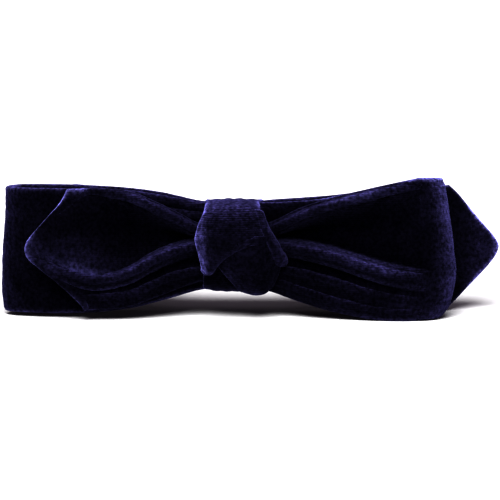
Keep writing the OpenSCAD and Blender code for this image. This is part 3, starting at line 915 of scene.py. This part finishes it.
def on_hoop(reach, offset):
    """Plan position at a distance along the +X half of the hoop, offset outwards from its core."""
    if reach < QUARTER:
        turn = reach / CROWN_R
        return (CROWN_R + offset) * math.sin(turn), HOOP_Y - (CROWN_R + offset) * math.cos(turn)
    turn = (reach - QUARTER) / ARM_R
    return CROWN_R - ARM_R + (ARM_R + offset) * math.cos(turn), HOOP_Y + (ARM_R + offset) * math.sin(turn)


def edges_at(reach):
    """Heights of the hoop's lower and upper edges at a distance along it. The tables go by plan y."""
    y = on_hoop(reach, 0)[1]
    heights = []
    for table in (LOW_EDGE, HIGH_EDGE):
        dense = catmull(table, np.linspace(0, 1, 200))
        heights.append(max(float(np.interp(y, dense[:, 0], dense[:, 1])), LOWEST))
    return heights


def on_side(side, line):
    """A line of (distance along the hoop, offset, height), placed on its right (1) or left (-1) half."""
    placed = []
    for reach, offset, z in line:
        x, y = on_hoop(reach, offset)
        placed.append((side * x, y, z))
    return placed if side > 0 else placed[::-1]


def hoop_net(reaches, section, side):
    """A net along the hoop. section(reach, low, high) gives (offset, height) points up the section."""
    return [
        on_side(side, [(reach, offset, z) for offset, z in section(reach, *edges_at(reach))])
        for reach in reaches
    ]


def sleeve_section(reach, low, high):
    """Velvet round the pad, turned under at both edges, puckered near the knot and at the tip."""
    tall = high - low
    squeeze = 1 - 0.55 * math.exp(-((reach / 16) ** 2))
    tip = 1 - 0.22 * smooth(SLEEVE_END - 10, SLEEVE_END, reach)
    out = PUFF * squeeze * tip
    pucker = 0.45 * math.exp(-reach / 40) + 0.12
    shape = (
        (-1.5, 0.12), (-1.6, 0.045), (-0.5, 0.008), (1.6, 0.012), (0.72 * out, 0.05), (0.93 * out, 0.14),
        (out, 0.27), (out, 0.4), (out, 0.5), (out, 0.6), (out, 0.73), (0.93 * out, 0.86),
        (0.72 * out, 0.95), (1.6, 0.988), (-0.5, 0.992), (-1.6, 0.955), (-1.5, 0.88),
    )
    row = []
    for k, (offset, share) in enumerate(shape):
        wave = math.sin(reach * 0.55 + k * 1.9) * pucker if offset > 2 else 0
        row.append((offset + wave, low + tall * share))
    return row


def ribbon_section(reach, low, high):
    """The ribbon lies flat, inside both edges, all along the hoop."""
    tall = high - low - 2 * RIBBON_INSET
    return [(RIBBON_OFFSET, low + RIBBON_INSET + tall * t) for t in np.linspace(0, 1, 7)]


def pad_rings(reaches, side):
    """Rings of the foam pad: a flat back against the core and a domed front."""
    rings = []
    for reach in reaches:
        low, high = edges_at(reach)
        low, high = low + PAD_INSET, high - PAD_INSET
        squeeze = 1 - 0.5 * math.exp(-((reach / 16) ** 2))
        middle, half = (low + high) / 2, (high - low) / 2
        ring = []
        for turn in np.linspace(0, 2 * math.pi, 40, endpoint=False):
            c, w = math.cos(turn), math.sin(turn)
            z = middle + half * math.copysign(abs(w) ** 0.6, w)
            ring.append((reach, 1.0 + (PAD_THICK * squeeze * abs(c) ** 0.5 if c > 0 else 0.0), z))
        rings.append(on_side(side, ring))
    return rings


def stitch_rows(name, reaches, side):
    """Small stitches along both edges of the ribbon."""
    paths = []
    for reach in np.arange(reaches[0] + 2, reaches[-1] - 2, 3.0):
        low, high = edges_at(reach)
        for z in (low + RIBBON_INSET + SEAM_INSET, high - RIBBON_INSET - SEAM_INSET):
            path = []
            for t in np.linspace(-1, 1, 7):
                px, py = on_hoop(reach + 0.9 * t, -3.15 - 0.14 * (1 - t * t))
                path.append((side * px, py, z))
            paths.append(path)
    return tubes(name, paths, 0.16, thread, sides=6)


def hoop_pieces(prefix, reaches, side, dense, sleeve_cut, ribbon_cut):
    """The sleeve, ribbon, foam pad and stitches of a stretch of the hoop. A cut is (flat size, area); the
    cuts are not used.
    """
    around = grid_from_net(hoop_net(reaches, sleeve_section, side), dense, 1.0)
    sleeve = thick_sheet(f"velvet_{prefix}_sleeve", around, 1.1, bow_velvet, nap=0.08, seed=11, bead=0.0)
    inside = grid_from_net(hoop_net(reaches, ribbon_section, side), dense, 0.8)
    tape = thick_sheet(f"ribbon_{prefix}", inside, 0.8, ribbon, free=("low", "high"), bead=0.1)
    pad = closed_loft(f"foam_{prefix}", pad_rings(reaches, side), foam)
    seam = stitch_rows(f"thread_{prefix}", reaches, side)
    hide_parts(f"{prefix}_cover")
    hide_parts(f"{prefix}_lining")
    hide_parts(f"{prefix}_pad")
    return sleeve, tape, pad, seam


def arm(body, side):
    """One half of the hoop, from inside the wrap to the tip cap."""
    reaches = np.concatenate([
        np.linspace(SLEEVE_START, QUARTER, 22), np.linspace(QUARTER + 5, SLEEVE_END, 9)
    ])
    cuts = ((0.064, 0.153), 0.0085), ((0.040, 0.153), 0.0048)
    for piece in hoop_pieces(body, reaches, side, 1.6, *cuts):
        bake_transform(piece)


def crown():
    """The hoop's middle, hidden inside the wrap."""
    reaches = [-8.6, -6.0, -3.0, 0.0, 3.0, 6.0, 8.6]
    cuts = ((0.043, 0.0175), None), ((0.0235, 0.0175), None)
    for piece in hoop_pieces("crown", reaches, 1, 1.4, *cuts):
        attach(piece, "knot")


CAP_END = QUARTER + 62.7  # mm along the core
CAP_Z = 24  # mm, the height of the tips' middle


def tip_cap(prefix, side):
    """The velvet pocket over the end of an arm, rounded at its tip, with a hem."""
    rings = []
    for share in (0, 0.03, 0.07, 0.11, 0.15, 0.19, 0.3, 0.45, 0.6, 0.72, 0.82, 0.9, 0.955, 0.985, 1.0):
        reach = SLEEVE_END + (CAP_END - SLEEVE_END) * share
        fall = math.sqrt(max(1 - max((share - 0.5) / 0.5, 0) ** 2, 0.0004))
        hem = 0.5 * math.exp(-(((share - 0.07) / 0.05) ** 2))
        hem -= 0.5 * math.exp(-(((share - 0.17) / 0.03) ** 2))
        half = (9.9 - 0.6 * share) * fall ** 0.6 + hem
        inner, outer = -3.0 - hem, 5.1 + hem
        middle = (inner + outer) / 2 - 0.6 * share
        thick = (outer - inner) / 2 * (0.45 + 0.55 * fall) * (1 - 0.2 * share)
        thick = thick if fall > 0.05 else 0.3
        ring = []
        for turn in np.linspace(0, 2 * math.pi, 48, endpoint=False):
            c, w = math.cos(turn), math.sin(turn)
            offset = middle + thick * math.copysign(abs(c) ** 0.7, c)
            ring.append((reach, offset, CAP_Z + half * math.copysign(abs(w) ** 0.75, w)))
        rings.append(on_side(side, ring))
    return closed_loft(f"velvet_{prefix}_tip", rings, bow_velvet)


for prefix, side in (("left", -1), ("right", 1)):
    piece = tip_cap(prefix, side)
    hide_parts(f"{prefix}_tip_cap")
    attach(piece, f"{prefix}_arm")

# The plastic core keeps its CAD shape.
for name in ("crown_core", "left_arm_core", "right_arm_core"):
    core = next(o for o in bpy.data.objects if o.get("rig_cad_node") == name)
    core.data.materials.clear()
    core.data.materials.append(band_plastic)

crown()
arm("left_arm", -1)
arm("right_arm", 1)


# ---------- studio ----------

SKY_LOW = (0.33, 0.27, 0.33)
SKY_HIGH = (1.0, 0.87, 1.0)
SKY_STRENGTH = 0.52
FLOOR_GREY = 0.5
FLOOR_HALF = 8  # m
KEY_RISE = math.radians(52)
KEY_TURN = math.radians(-8)
KEY_SPREAD = math.radians(42)
KEY_POWER = 9.8
CONTRAST = 0.6  # the photographic curve: below 1 it deepens the darks and leaves white as it is
CAMERA_RISE = math.radians(8)
CAMERA_DISTANCE = 0.9  # m


def face(obj, way):
    """Turns a camera or a light to look along a direction."""
    obj.rotation_mode = "QUATERNION"
    obj.rotation_quaternion = way.to_track_quat("-Z", "Y")


def aim_camera():
    """The photo's view: from the front, a little above, centred on the bow."""
    data = bpy.data.cameras.new("camera")
    camera = in_scene("camera", data)
    back = Vector((0, -math.cos(CAMERA_RISE), math.sin(CAMERA_RISE)))
    camera.location = Vector(in_row_frame((5.9, -6.0, 26.2))) + back * CAMERA_DISTANCE
    face(camera, -back)
    data.lens = 164.6
    data.sensor_width = 36
    bpy.context.scene.camera = camera


def key_light():
    """A very large, distant softbox."""
    data = bpy.data.lights.new("key", "SUN")
    data.angle = KEY_SPREAD
    data.energy = KEY_POWER
    obj = in_scene("key", data)
    level = math.cos(KEY_RISE)
    away = Vector((math.sin(KEY_TURN) * level, -math.cos(KEY_TURN) * level, math.sin(KEY_RISE)))
    obj.location = away
    face(obj, -away)


def sky():
    """A white tent: bright overhead, dim and faintly violet low down, where the room is."""
    world = bpy.data.worlds.new("white_tent")
    world.use_nodes = True
    nodes, links = world.node_tree.nodes, world.node_tree.links
    split = nodes.new("ShaderNodeSeparateXYZ")
    links.new(nodes.new("ShaderNodeTexCoord").outputs["Generated"], split.inputs[0])
    glow = ramp_of(world, split.outputs["Z"], [(0.05, SKY_LOW), (0.9, SKY_HIGH)])
    glow.node.color_ramp.interpolation = "EASE"
    links.new(glow, nodes["Background"].inputs["Color"])
    put(nodes["Background"], Strength=SKY_STRENGTH)
    bpy.context.scene.world = world


def floor():
    """A plain pale floor."""
    mesh = bpy.data.meshes.new("floor")
    r = FLOOR_HALF
    mesh.from_pydata([(-r, -r, 0), (r, -r, 0), (r, r, 0), (-r, r, 0)], [], [(0, 1, 2, 3)])
    paint, _, _, shader = blank_material("floor_white")
    put(shader, Base_Color=(FLOOR_GREY, FLOOR_GREY, FLOOR_GREY, 1), Roughness=1.0, Specular_IOR_Level=0.0)
    mesh.materials.append(paint)
    in_scene("floor", mesh)


aim_camera()
sky()
key_light()
floor()
bpy.context.scene.view_settings.view_transform = "Standard"
bpy.context.scene.view_settings.gamma = CONTRAST
